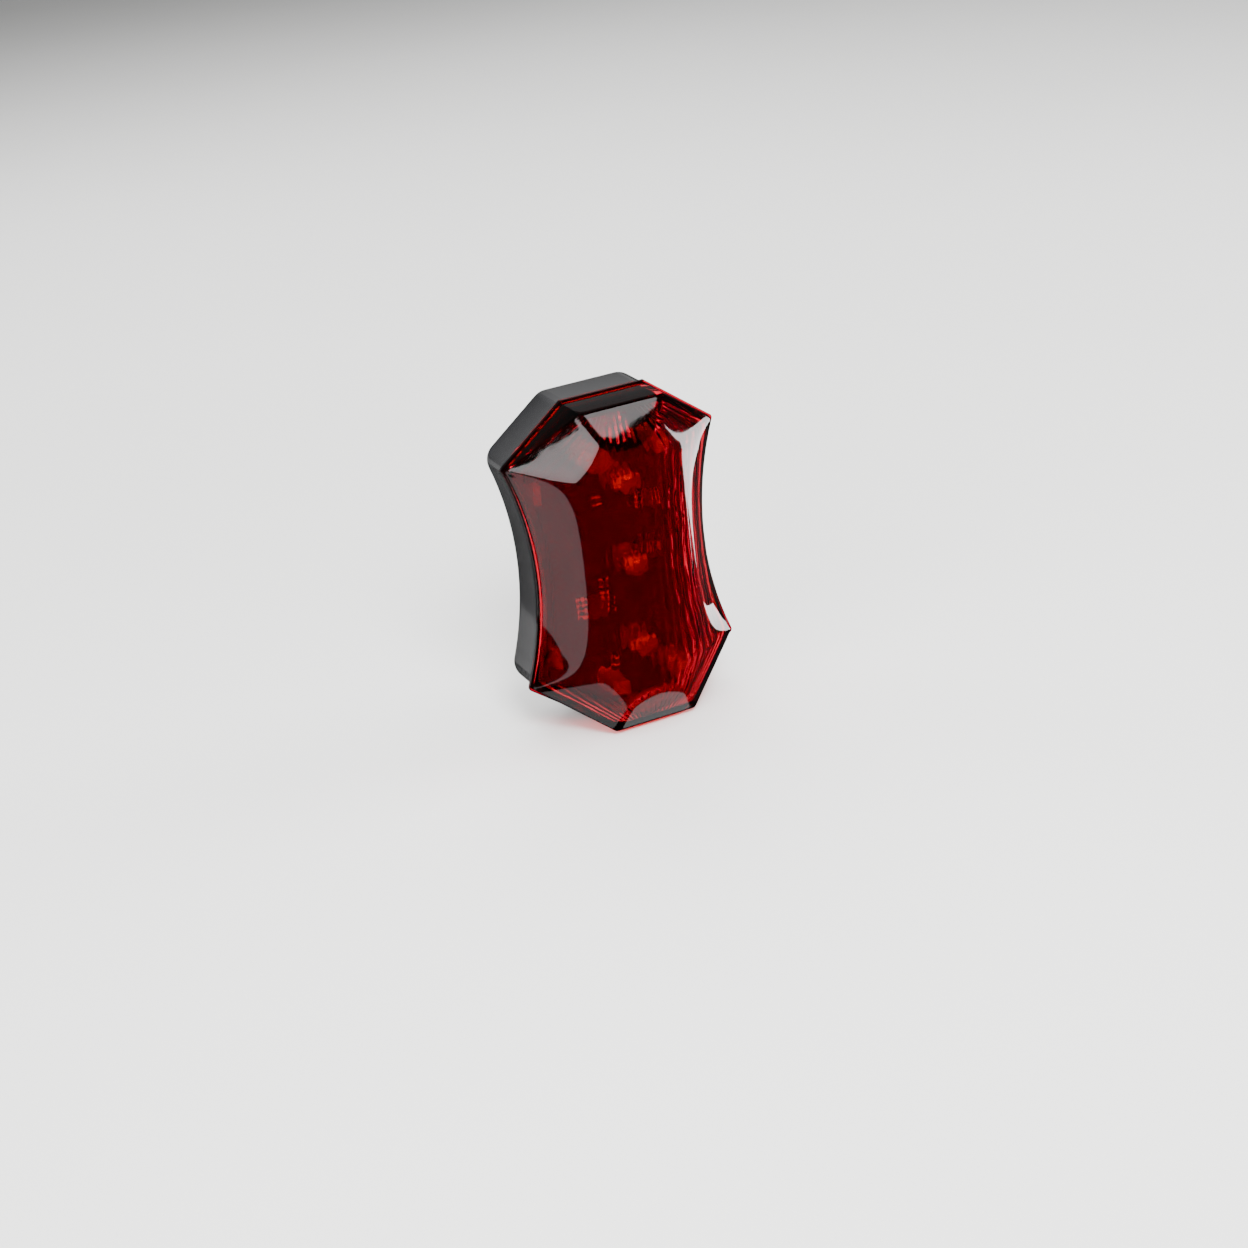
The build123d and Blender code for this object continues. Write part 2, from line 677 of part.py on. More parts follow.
def clip_pad():
    """Grooved rubber pad on the toe of the clip."""
    face = PAD_FACE_Y
    pad = block(-TOE_HALF, TOE_HALF, face, face + PAD_THICK, TOE_LOW, TOE_LOW + TOE_HEIGHT)
    pitch = 2 * TOE_HALF / (PAD_GROOVES + 1)
    for n in range(PAD_GROOVES):
        x = -TOE_HALF + (n + 1) * pitch
        pad = pad - block(
            x - PAD_GROOVE_HALF, x + PAD_GROOVE_HALF, face - MARGIN, face + PAD_GROOVE_DEPTH,
            TOE_LOW - MARGIN, TOE_LOW + TOE_HEIGHT + MARGIN,
        )
    return pad


def hinge_pin():
    reach = CLIP_HALF_WIDTH + LUG_CLEAR + LUG_WIDTH
    pin = rod_x(PIN_R, -reach, reach, PIN_Y, PIN_Z)
    return chamfer(pin.edges().filter_by(GeomType.CIRCLE), PIN_CHAMFER)


def wire_leg(points):
    """A bent round wire through the given points, which lie at one X."""
    path = FilletPolyline(*points, radius=CLIP_LEG_BEND_R)
    return sweep(Plane(path @ 0, z_dir=path % 0) * Circle(CLIP_WIRE_R), path=path)


def clip_spring():
    """Torsion spring round the pin, with one leg on the housing and one under the thumb plate."""
    height = CLIP_COIL_TURNS * CLIP_COIL_PITCH
    line = Helix(CLIP_COIL_PITCH, height, CLIP_COIL_R)
    coil = sweep(Plane(line @ 0, z_dir=line % 0) * Circle(CLIP_WIRE_R), path=line)
    coil = Pos(-height / 2, PIN_Y, PIN_Z) * Rot(0, 90, 0) * coil
    on_housing = BACK_Y + CLIP_WIRE_R + CLIP_WIRE_CLEAR
    on_plate = BAND_GAP / 2 - CLIP_WIRE_R - CLIP_WIRE_CLEAR
    start_z, end_y = PIN_Z - CLIP_COIL_R, PIN_Y + CLIP_COIL_R
    left, right = -height / 2, height / 2
    low_leg = wire_leg(
        [(left, PIN_Y, start_z), (left, on_housing, start_z), (left, on_housing, CLIP_LEG_TOP)]
    )
    bend_z = PIN_Z + WINDOW_ABOVE - CLIP_LEG_FROM_WINDOW
    high_leg = wire_leg(
        [
            (right, end_y, PIN_Z),
            (right, end_y, PIN_Z + CLIP_COIL_R),
            (right, on_plate, bend_z),
            (right, on_plate, CLIP_LEG_TOP),
        ]
    )
    return coil + low_leg + high_leg


def build():
    save("lens", lens())
    save("lens_seal", lens_seal())
    save("housing", housing())
    save("circuit_board", circuit_board())
    for node, z in led_places().items():
        save(node, led(z))
    save("led_leads", led_leads())
    save("board_screws", board_screws())
    save("driver_chip", driver_chip())
    save("chip_legs", chip_legs())
    save("resistors", resistors())
    save("capacitor", on_board(CAPACITOR_X, CAPACITOR_Z, CAPACITOR_SIZE))
    save("power_coil", power_coil())
    save("switch_body", switch_body())
    save("switch_plunger", switch_plunger())
    save("button", button())
    save("cell_left", cell(-1))
    save("cell_right", cell(1))
    save("contact_springs", contact_springs())
    save("contact_plates", contact_plates())
    save("clip_lever", clip_lever())
    save("clip_pad", clip_pad())
    save("hinge_pin", hinge_pin())
    save("clip_spring", clip_spring())


build()
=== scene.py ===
import math

import bmesh
import bpy
from mathutils import Matrix, Vector


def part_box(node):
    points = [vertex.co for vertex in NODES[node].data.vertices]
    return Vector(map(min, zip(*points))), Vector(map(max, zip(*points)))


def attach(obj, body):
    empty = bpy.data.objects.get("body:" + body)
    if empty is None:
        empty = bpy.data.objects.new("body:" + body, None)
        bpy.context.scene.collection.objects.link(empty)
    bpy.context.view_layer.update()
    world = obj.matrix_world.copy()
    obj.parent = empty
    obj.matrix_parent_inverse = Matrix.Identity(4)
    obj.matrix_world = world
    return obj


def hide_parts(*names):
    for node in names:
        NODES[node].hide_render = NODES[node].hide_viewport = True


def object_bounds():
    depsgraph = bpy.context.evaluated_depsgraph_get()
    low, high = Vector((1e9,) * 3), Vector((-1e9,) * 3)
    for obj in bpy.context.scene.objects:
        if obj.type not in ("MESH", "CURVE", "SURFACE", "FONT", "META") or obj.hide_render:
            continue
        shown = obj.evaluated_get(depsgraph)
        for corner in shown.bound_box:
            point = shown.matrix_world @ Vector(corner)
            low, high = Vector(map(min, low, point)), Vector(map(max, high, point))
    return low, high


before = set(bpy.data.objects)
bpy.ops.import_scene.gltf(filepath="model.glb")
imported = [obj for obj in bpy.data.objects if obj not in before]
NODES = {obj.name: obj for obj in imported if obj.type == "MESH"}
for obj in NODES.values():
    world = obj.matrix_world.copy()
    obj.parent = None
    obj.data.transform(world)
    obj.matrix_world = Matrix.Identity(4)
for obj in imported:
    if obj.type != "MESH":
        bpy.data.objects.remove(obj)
cad_low, cad_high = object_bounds()

MM = 0.001

# --- places read from the frame, in metres -------------------------------------------------------

seal_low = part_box("lens_seal")[0]
rim_low, rim_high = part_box("lens")
board_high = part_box("circuit_board")[1]

FLANGE = 1.0 * MM
RIM_Y = seal_low.y - FLANGE
HALF_HEIGHT = rim_high.z
HALF_WIDTH = 24.0 * MM
CORNER_Z = HALF_HEIGHT - 11.2 * MM
END_HALF = 9.4 * MM
WAIST = 19.5 * MM
CELL_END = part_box("cell_left")[1].z


def spot(x, h, z):
    """A point at height h above the lens flange."""
    return Vector((x, RIM_Y - h, z))


# --- lens surface --------------------------------------------------------------------------------

CROWN_R = 20.6 * MM
CROWN_CENTRE = 12.89 * MM - CROWN_R
CROWN_REACH = math.hypot(HALF_WIDTH, CROWN_CENTRE)
CROWN_ANGLE = math.asin(CROWN_R / CROWN_REACH) - math.atan2(-CROWN_CENTRE, HALF_WIDTH)
SHOULDER = 8.8 * MM
END_SLOPE = 0.5
CORNER_RISE = 0.72
CORNER_FALL = 0.18
SIDE_TOP = 12.0 * MM
SIDE_WAIST = 9.75 * MM
SIDE_CORNER = 8.6 * MM
SIDE_BULGE = 0.30 * MM
EDGE_ROUND = 0.28 * MM
FLANGE_STEP = 0.5 * MM
LENS_WALL = 2.0 * MM


def arc_x(z, at_waist, at_corner):
    """The X of an arc that bows in at the waist, at height z."""
    sag = at_corner - at_waist
    radius = (CORNER_Z**2 + sag**2) / (2 * sag)
    chord = math.sqrt(radius**2 - min(abs(z), CORNER_Z) ** 2)
    return at_waist + radius - math.copysign(chord, radius)


def crown(x, inset):
    """Height of the round crown and its tangent slopes."""
    radius = CROWN_R - inset
    edge = radius * math.sin(CROWN_ANGLE)
    if abs(x) < edge:
        return CROWN_CENTRE + math.sqrt(radius**2 - x**2)
    start = CROWN_CENTRE + radius * math.cos(CROWN_ANGLE)
    return start - math.tan(CROWN_ANGLE) * (abs(x) - edge)


def side_facet(x, z, inset):
    """Height of the side facet, which follows the waist and bulges a little between its edges."""
    rim_x = arc_x(z, WAIST, HALF_WIDTH)
    top_x = arc_x(z, SIDE_WAIST, SIDE_CORNER)
    slope = SIDE_TOP / (rim_x - top_x)
    across = min(max((rim_x - abs(x)) / (rim_x - top_x), 0.0), 1.0)
    bulge = 4 * SIDE_BULGE * across * (1 - across)
    return slope * (rim_x - abs(x)) + bulge - inset * math.hypot(1, slope)


def end_facet(z, inset):
    """Height of the sloping facet at each end."""
    low = SHOULDER - inset * math.hypot(1, END_SLOPE)
    return low + END_SLOPE * (HALF_HEIGHT - FLANGE_STEP - abs(z))


def corner_facet(x, z, inset):
    """Height of the sloping facet at each corner."""
    drop = inset * math.sqrt(1 + CORNER_RISE**2 + CORNER_FALL**2)
    return CORNER_RISE * (HALF_WIDTH - abs(x)) - CORNER_FALL * (abs(z) - CORNER_Z) - drop


def soft_min(values, width):
    """The lowest value, with the meeting of two rounded over width."""
    low = min(values)
    return low - width * math.log(sum(math.exp(-(v - low) / width) for v in values))


def roof(x, z, inset=0.0):
    """Height of the lens's front above the flange."""
    faces = [crown(x, inset), side_facet(x, z, inset), end_facet(z, inset), corner_facet(x, z, inset)]
    return soft_min(faces, EDGE_ROUND / 2)


def half_width(z, inset):
    """Half of the outline's width at height z, moved in by inset."""
    run = math.hypot(HALF_WIDTH - END_HALF, HALF_HEIGHT - CORNER_Z)
    fall = (HALF_WIDTH - END_HALF) / (HALF_HEIGHT - CORNER_Z)
    slanted = HALF_WIDTH - (abs(z) - CORNER_Z) * fall - inset * run / (HALF_HEIGHT - CORNER_Z)
    sag = HALF_WIDTH - WAIST
    radius = (CORNER_Z**2 + sag**2) / (2 * sag)
    z_in = min(abs(z), CORNER_Z)
    waisted = WAIST + radius - math.sqrt((radius + inset) ** 2 - z_in**2)
    return min(slanted, waisted)


def corner_height(inset):
    """Height of the outline's widest corners, moved in by inset."""
    low, high = 0.0, HALF_HEIGHT
    for _ in range(40):
        middle = (low + high) / 2
        run = math.hypot(HALF_WIDTH - END_HALF, HALF_HEIGHT - CORNER_Z)
        fall = (HALF_WIDTH - END_HALF) / (HALF_HEIGHT - CORNER_Z)
        slanted = HALF_WIDTH - (middle - CORNER_Z) * fall - inset * run / (HALF_HEIGHT - CORNER_Z)
        if slanted > half_width(middle, inset) + 1e-9:
            low = middle
        else:
            high = middle
    return low


CORNER_SHARE = 0.7


def outline(u, v, inset, knee):
    """Where the grid point (u, v), each from -1 to 1, lies in the outline whose corners are at knee."""
    if abs(v) < CORNER_SHARE:
        z = abs(v) / CORNER_SHARE * knee
    else:
        z = knee + (abs(v) - CORNER_SHARE) / (1 - CORNER_SHARE) * (HALF_HEIGHT - inset - knee)
    return u * half_width(z, inset), math.copysign(z, v)


# --- material helpers ----------------------------------------------------------------------------


def new_material(name):
    """An empty node material with its Principled shader and Object coordinates."""
    material = bpy.data.materials.new(name)
    material.use_nodes = True
    tree = material.node_tree
    shader = tree.nodes["Principled BSDF"]
    coords = tree.nodes.new("ShaderNodeTexCoord")
    return material, tree, shader, coords.outputs["Object"]


def mapping(tree, vector, scale):
    """Coordinates stretched by scale."""
    node = tree.nodes.new("ShaderNodeMapping")
    node.inputs["Scale"].default_value = scale
    tree.links.new(vector, node.inputs["Vector"])
    return node.outputs["Vector"]


def noise(tree, vector, scale, detail=3.0, rough=0.5):
    """A noise pattern, from 0 to 1."""
    node = tree.nodes.new("ShaderNodeTexNoise")
    node.inputs["Scale"].default_value = scale
    node.inputs["Detail"].default_value = detail
    node.inputs["Roughness"].default_value = rough
    tree.links.new(vector, node.inputs["Vector"])
    return node.outputs["Fac"]


def cells(tree, vector, scale):
    """Distance to the nearest point of a cell pattern."""
    node = tree.nodes.new("ShaderNodeTexVoronoi")
    node.inputs["Scale"].default_value = scale
    tree.links.new(vector, node.inputs["Vector"])
    return node.outputs["Distance"]


def ramp(tree, value, stops):
    """A colour ramp over value, from (place, colour) stops."""
    node = tree.nodes.new("ShaderNodeValToRGB")
    bar = node.color_ramp
    while len(bar.elements) < len(stops):
        bar.elements.new(1.0)
    for element, (place, colour) in zip(bar.elements, stops):
        element.position = place
        element.color = (*colour, 1.0)
    tree.links.new(value, node.inputs["Fac"])
    return node.outputs["Color"]


def spread(tree, value, low, high):
    """value, from 0 to 1, mapped from low to high."""
    node = tree.nodes.new("ShaderNodeMapRange")
    node.inputs["To Min"].default_value = low
    node.inputs["To Max"].default_value = high
    tree.links.new(value, node.inputs["Value"])
    return node.outputs["Result"]


def bump(tree, shader, value, strength, distance):
    """Lifts the surface's shading by value."""
    node = tree.nodes.new("ShaderNodeBump")
    node.inputs["Strength"].default_value = strength
    node.inputs["Distance"].default_value = distance
    tree.links.new(value, node.inputs["Height"])
    tree.links.new(node.outputs["Normal"], shader.inputs["Normal"])


def edge_wear(tree, colour, worn, amount):
    """colour with a lighter tone where the surface is an outer edge."""
    pointed = tree.nodes.new("ShaderNodeNewGeometry").outputs["Pointiness"]
    where = tree.nodes.new("ShaderNodeMapRange")
    where.inputs["From Min"].default_value = 0.52
    where.inputs["From Max"].default_value = 0.6
    where.inputs["To Max"].default_value = amount
    tree.links.new(pointed, where.inputs["Value"])
    mix = tree.nodes.new("ShaderNodeMix")
    mix.data_type = "RGBA"
    tree.links.new(where.outputs["Result"], mix.inputs["Factor"])
    tree.links.new(colour, mix.inputs[6])
    mix.inputs[7].default_value = (*worn, 1.0)
    return mix.outputs[2]


def plastic(name, dark, light, rough, grain_scale, grain_depth, worn=None, coat=0.0):
    """Moulded plastic or rubber: two close tones, uneven gloss and a fine grain."""
    material, tree, shader, coords = new_material(name)
    tone = noise(tree, coords, grain_scale / 18)
    colour = ramp(tree, tone, [(0.3, dark), (0.7, light)])
    if worn:
        colour = edge_wear(tree, colour, worn, 0.5)
    tree.links.new(colour, shader.inputs["Base Color"])
    gloss = noise(tree, coords, grain_scale / 6, 4.0, 0.6)
    tree.links.new(spread(tree, gloss, rough[0], rough[1]), shader.inputs["Roughness"])
    bump(tree, shader, noise(tree, coords, grain_scale, 2.0), 0.6, grain_depth)
    shader.inputs["Coat Weight"].default_value = coat
    return material


def metal(name, dark, light, rough, line_scale, axis, depth):
    """Drawn or plated metal with fine lines along one axis."""
    material, tree, shader, coords = new_material(name)
    colour = ramp(tree, noise(tree, coords, 900.0), [(0.3, dark), (0.7, light)])
    tree.links.new(colour, shader.inputs["Base Color"])
    shader.inputs["Metallic"].default_value = 1.0
    scale = {"X": (0.05, 1, 1), "Y": (1, 0.05, 1), "Z": (1, 1, 0.05)}[axis]
    lines = noise(tree, mapping(tree, coords, scale), line_scale, 4.0, 0.7)
    tree.links.new(spread(tree, lines, rough[0], rough[1]), shader.inputs["Roughness"])
    bump(tree, shader, lines, 0.4, depth)
    return material


def let_lamps_through(material, tree, shader, tint):
    """Shadow rays pass with a tint, so light reaches what lies behind the clear piece."""
    output = tree.nodes["Material Output"]
    path = tree.nodes.new("ShaderNodeLightPath")
    clear = tree.nodes.new("ShaderNodeBsdfTransparent")
    clear.inputs["Color"].default_value = (*tint, 1.0)
    mix = tree.nodes.new("ShaderNodeMixShader")
    tree.links.new(path.outputs["Is Shadow Ray"], mix.inputs["Fac"])
    tree.links.new(shader.outputs["BSDF"], mix.inputs[1])
    tree.links.new(clear.outputs["BSDF"], mix.inputs[2])
    tree.links.new(mix.outputs["Shader"], output.inputs["Surface"])
    return material


# --- finishes ------------------------------------------------------------------------------------


def clear_red_finish():
    """Clear deep-red moulded plastic, polished, with faint flow marks."""
    material, tree, shader, coords = new_material("clear_red")
    flow = noise(tree, mapping(tree, coords, (1, 1, 0.3)), 90.0, 3.0)
    colour = ramp(tree, flow, [(0.35, (0.50, 0.0015, 0.016)), (0.65, (0.58, 0.003, 0.022))])
    tree.links.new(colour, shader.inputs["Base Color"])
    shader.inputs["Transmission Weight"].default_value = 1.0
    shader.inputs["IOR"].default_value = 1.49
    tree.links.new(spread(tree, noise(tree, coords, 400.0), 0.012, 0.03), shader.inputs["Roughness"])
    bump(tree, shader, noise(tree, coords, 260.0, 2.0), 0.15, 0.00002)
    return let_lamps_through(material, tree, shader, (0.60, 0.006, 0.035))


def fitting_red_finish():
    """The same red plastic in the thin moulded fittings, paler and a little milky."""
    material, tree, shader, coords = new_material("fitting_red")
    flow = noise(tree, mapping(tree, coords, (1, 0.3, 1)), 220.0, 3.0)
    colour = ramp(tree, flow, [(0.35, (0.55, 0.003, 0.016)), (0.65, (0.68, 0.006, 0.024))])
    tree.links.new(colour, shader.inputs["Base Color"])
    shader.inputs["Transmission Weight"].default_value = 0.86
    shader.inputs["IOR"].default_value = 1.49
    tree.links.new(spread(tree, noise(tree, coords, 700.0), 0.06, 0.16), shader.inputs["Roughness"])
    bump(tree, shader, noise(tree, coords, 500.0, 2.0), 0.2, 0.00002)
    return let_lamps_through(material, tree, shader, (0.80, 0.02, 0.06))


def lamp_resin_finish():
    """Clear lamp resin with a faint warm tint and small flow swirls."""
    material, tree, shader, coords = new_material("lamp_resin")
    colour = ramp(tree, noise(tree, coords, 500.0), [(0.3, (0.90, 0.70, 0.78)), (0.7, (0.95, 0.80, 0.86))])
    tree.links.new(colour, shader.inputs["Base Color"])
    shader.inputs["Transmission Weight"].default_value = 0.88
    shader.inputs["IOR"].default_value = 1.52
    tree.links.new(spread(tree, noise(tree, coords, 900.0), 0.03, 0.08), shader.inputs["Roughness"])
    return let_lamps_through(material, tree, shader, (0.9, 0.8, 0.8))


def solder_mask_finish():
    """Dark green solder mask over fine tracks."""
    material, tree, shader, coords = new_material("solder_mask")
    track = cells(tree, mapping(tree, coords, (1, 0.01, 0.6)), 420.0)
    colour = ramp(
        tree, track,
        [(0.06, (0.016, 0.085, 0.040)), (0.12, (0.005, 0.040, 0.020)), (0.5, (0.004, 0.030, 0.015))],
    )
    tree.links.new(colour, shader.inputs["Base Color"])
    tree.links.new(spread(tree, noise(tree, coords, 1200.0), 0.6, 0.8), shader.inputs["Roughness"])
    shader.inputs["Specular IOR Level"].default_value = 0.08
    bump(tree, shader, track, 0.4, 0.00004)
    return material


def cell_sleeve_finish():
    """Printed sleeve of a cell: a silver body with one dark band, and faint wrap lines."""
    material, tree, shader, coords = new_material("cell_sleeve")
    split = tree.nodes.new("ShaderNodeSeparateXYZ")
    tree.links.new(coords, split.inputs["Vector"])
    along = tree.nodes.new("ShaderNodeMapRange")
    along.inputs["From Min"].default_value = -CELL_END
    along.inputs["From Max"].default_value = CELL_END
    tree.links.new(split.outputs["Z"], along.inputs["Value"])
    colour = ramp(
        tree, along.outputs["Result"],
        [(0.0, (0.62, 0.60, 0.56)), (0.052, (0.62, 0.60, 0.56)), (0.056, (0.50, 0.51, 0.54)),
         (0.30, (0.48, 0.49, 0.52)), (0.305, (0.03, 0.09, 0.20)), (0.70, (0.03, 0.10, 0.23)),
         (0.705, (0.48, 0.49, 0.52)), (0.944, (0.50, 0.51, 0.54)), (0.948, (0.62, 0.60, 0.56)),
         (1.0, (0.62, 0.60, 0.56))],
    )
    tree.links.new(colour, shader.inputs["Base Color"])
    shader.inputs["Metallic"].default_value = 0.55
    lines = noise(tree, mapping(tree, coords, (1, 1, 6)), 500.0, 3.0)
    tree.links.new(spread(tree, lines, 0.22, 0.36), shader.inputs["Roughness"])
    bump(tree, shader, lines, 0.2, 0.00002)
    return material


CLEAR_RED = clear_red_finish()
FITTING_RED = fitting_red_finish()
LAMP_RESIN = lamp_resin_finish()
SOLDER_MASK = solder_mask_finish()
CELL_SLEEVE = cell_sleeve_finish()
GLOSS_BLACK = plastic(
    "gloss_black", (0.006, 0.006, 0.006), (0.010, 0.010, 0.011), (0.05, 0.13), 900.0, 0.000006,
    worn=(0.05, 0.05, 0.052), coat=0.3,
)
GRAINED_BLACK = plastic(
    "grained_black", (0.012, 0.012, 0.013), (0.020, 0.020, 0.021), (0.36, 0.52), 2600.0, 0.00005,
    worn=(0.07, 0.07, 0.072),
)
SEAL_BLACK = plastic("seal_black", (0.010, 0.010, 0.010), (0.018, 0.018, 0.018), (0.55, 0.7), 1800.0, 0.00002)
BUTTON_BLACK = plastic(
    "button_black", (0.020, 0.020, 0.021), (0.032, 0.032, 0.033), (0.48, 0.62), 2200.0, 0.00003,
    worn=(0.07, 0.07, 0.07),
)
PART_BLACK = plastic("part_black", (0.018, 0.018, 0.018), (0.030, 0.030, 0.031), (0.4, 0.55), 3500.0, 0.00002)
PART_GREY = plastic("part_grey", (0.12, 0.12, 0.12), (0.17, 0.17, 0.17), (0.35, 0.5), 3000.0, 0.00001)
TINNED = metal("tinned", (0.55, 0.55, 0.54), (0.72, 0.72, 0.70), (0.18, 0.35), 1500.0, "Y", 0.00001)
NICKEL = metal("nickel", (0.58, 0.56, 0.52), (0.72, 0.70, 0.66), (0.16, 0.32), 1200.0, "Z", 0.00001)
ZINC = metal("zinc", (0.45, 0.46, 0.48), (0.62, 0.63, 0.65), (0.22, 0.4), 1800.0, "X", 0.00001)
TURNED_STEEL = metal(
    "turned_steel", (0.50, 0.50, 0.51), (0.64, 0.64, 0.65), (0.14, 0.28), 1600.0, "X", 0.00001
)
SPRING_WIRE = metal("spring_wire", (0.34, 0.34, 0.35), (0.50, 0.50, 0.51), (0.2, 0.34), 1600.0, "Z", 0.00001)
PHOSPHOR = plastic("phosphor", (0.72, 0.50, 0.08), (0.80, 0.58, 0.12), (0.35, 0.5), 3000.0, 0.00001)
COPPER_WIRE = metal("copper_wire", (0.45, 0.14, 0.06), (0.58, 0.21, 0.10), (0.22, 0.36), 1600.0, "Y", 0.00001)

# --- piece helpers -------------------------------------------------------------------------------


def finish_mesh(bm, name, material, body, smooth_angle=35.0, outward=True):
    """Turns a bmesh into a piece that rides on a body."""
    bmesh.ops.remove_doubles(bm, verts=bm.verts, dist=1e-7)
    if outward:
        bmesh.ops.recalc_face_normals(bm, faces=bm.faces)
    mesh = bpy.data.meshes.new(name)
    bm.to_mesh(mesh)
    bm.free()
    mesh.polygons.foreach_set("use_smooth", [True] * len(mesh.polygons))
    mesh.set_sharp_from_angle(angle=math.radians(smooth_angle))
    piece = bpy.data.objects.new(name, mesh)
    bpy.context.scene.collection.objects.link(piece)
    mesh.materials.append(material)
    if body:
        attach(piece, body)
    return piece


def paint(node, material):
    """Gives a CAD node its finish."""
    NODES[node].data.materials.clear()
    NODES[node].data.materials.append(material)
    mesh = NODES[node].data
    mesh.polygons.foreach_set("material_index", [0] * len(mesh.polygons))


def add_box(bm, low, high, edge=0.0, segments=2):
    """A box between two corners, with its edges rounded by edge."""
    made = bmesh.ops.create_cube(bm, size=1.0)["verts"]
    size = Vector(high) - Vector(low)
    bmesh.ops.scale(bm, vec=[abs(s) for s in size], verts=made)
    bmesh.ops.translate(bm, vec=(Vector(low) + Vector(high)) / 2, verts=made)
    if edge:
        edges = list({e for v in made for e in v.link_edges})
        bmesh.ops.bevel(
            bm, geom=edges, offset=edge, offset_type="OFFSET", segments=segments,
            profile=0.5, affect="EDGES", clamp_overlap=True, material=-1,
        )
    return made


def add_turned(bm, profile, centre, axis, steps=48):
    """A closed turned shape: (radius, distance along axis) points spun round an axis through centre."""
    axis = Vector(axis).normalized()
    side = axis.orthogonal().normalized()
    ring = [bm.verts.new(Vector(centre) + side * r + axis * a) for r, a in profile]
    edges = [bm.edges.new((a, b)) for a, b in zip(ring, ring[1:])]
    made = bmesh.ops.spin(
        bm, geom=ring + edges, cent=Vector(centre), axis=axis, angle=2 * math.pi, steps=steps, use_merge=True
    )
    verts = {v for f in bm.faces for v in f.verts}
    bmesh.ops.remove_doubles(bm, verts=list(verts), dist=1e-7)
    return made


def turned(name, profile, centre, axis, material, body, steps=48, smooth_angle=35.0):
    """One turned piece of its own."""
    bm = bmesh.new()
    add_turned(bm, profile, centre, axis, steps)
    return finish_mesh(bm, name, material, body, smooth_angle)


# --- lens ----------------------------------------------------------------------------------------

LENS_COLUMNS = 240
LENS_ROWS = 150
FLUTES = 10
FLUTE_DEPTH = 0.30 * MM
FLUTE_WANDER = 0.55
FLUTE_CALM = 0.45
RIPPLE_SHARE = 0.07
CAVITY = FLANGE_STEP + LENS_WALL
# Each ring of the lens's wall: inset from the rim, and height above the flange, or how far below the roof.
LENS_RINGS = [
    (FLANGE_STEP + 0.20 * MM, None, 0.0),
    (FLANGE_STEP + 0.06 * MM, None, -0.07 * MM),
    (FLANGE_STEP, None, -0.20 * MM),
    (FLANGE_STEP, 0.10 * MM, 0.0),
    (FLANGE_STEP - 0.08 * MM, 0.0, 0.0),
    (0.12 * MM, 0.0, 0.0),
    (0.0, -0.12 * MM, 0.0),
    (0.0, -FLANGE + 0.12 * MM, 0.0),
    (0.12 * MM, -FLANGE, 0.0),
    (CAVITY, -FLANGE, 0.0),
]


def flute(u, v):
    """How far a flute stands off the inner surface at the grid point (u, v)."""
    sway = FLUTE_WANDER * (
        math.sin(9.0 * v + 5.0 * u) + math.sin(17.0 * v - 11.0 * u + 1.0)
        + 0.6 * math.sin(31.0 * v + 19.0 * u)
    )
    depth = FLUTE_DEPTH * (FLUTE_CALM + (1 - FLUTE_CALM) * u**2)
    ripple = RIPPLE_SHARE * math.cos(2 * math.pi * (3 * FLUTES * u + 1.3 * math.sin(13.0 * v)) + 3.0 * sway)
    return depth * (0.5 + (0.5 - RIPPLE_SHARE) * math.cos(2 * math.pi * FLUTES * u + sway) + ripple)


def inner_roof(x, z):
    """Height of the lens's inner surface, without its flutes."""
    return roof(x, z, LENS_WALL)


def lens_skin():
    """The lens as one closed shell: outer roof, wall, flange and fluted inner roof."""
    bm = bmesh.new()
    bmesh.ops.create_grid(bm, x_segments=LENS_COLUMNS, y_segments=LENS_ROWS, size=1.0)
    for _ in LENS_RINGS[1:] + [None]:
        rim = [e for e in bm.edges if e.is_boundary]
        grown = bmesh.ops.extrude_edge_only(bm, edges=rim)["geom"]
        verts = [g for g in grown if isinstance(g, bmesh.types.BMVert)]
        bmesh.ops.translate(bm, vec=(0, 0, 1), verts=verts)
    inside = len(LENS_RINGS)
    lid = Matrix.Translation((0, 0, inside))
    bmesh.ops.create_grid(bm, x_segments=LENS_COLUMNS, y_segments=LENS_ROWS, size=1.0, matrix=lid)
    bmesh.ops.remove_doubles(bm, verts=bm.verts, dist=1e-4)
    knees = [corner_height(inset) for inset, _, _ in LENS_RINGS] + [corner_height(CAVITY)]
    for vert in bm.verts:
        u, v, ring = vert.co
        ring = round(ring)
        if ring == inside:
            x, z = outline(u, v, CAVITY, knees[ring])
            h = inner_roof(x, z) - flute(u, v)
        else:
            inset, height, drop = LENS_RINGS[ring]
            x, z = outline(u, v, inset, knees[ring])
            h = max(roof(x, z) + drop, 0.12 * MM) if height is None else height
        x = max(rim_low.x, min(rim_high.x, x))
        vert.co = spot(x, max(h, -FLANGE + 0.05 * MM) if ring == inside else h, z)
    return finish_mesh(bm, "lens_shell", CLEAR_RED, "front_unit", 28.0)


lens_shell = lens_skin()
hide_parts("lens")

# --- inside fittings of the lens -----------------------------------------------------------------

FIT_GAP = 0.26 * MM
BOARD_FACE = 0.6 * MM
BOSS_X, BOSS_Z = 7.0 * MM, HALF_HEIGHT - 10.5 * MM
BOSS_R = 2.7 * MM
BOSS_HOLE_R = 0.95 * MM
BOSS_HOLE_TOP = 5.7 * MM
FITTING_TOP = 8.0 * MM
POST_HALF = 1.5 * MM
LENS_SIDE = Vector((0, -1, 0))


def follow_roof(bm, above):
    """Lifts what stands above a height until it nearly touches the lens's inner surface."""
    for vert in bm.verts:
        if RIM_Y - vert.co.y > above:
            vert.co.y = RIM_Y - (inner_roof(vert.co.x, vert.co.z) - FIT_GAP)


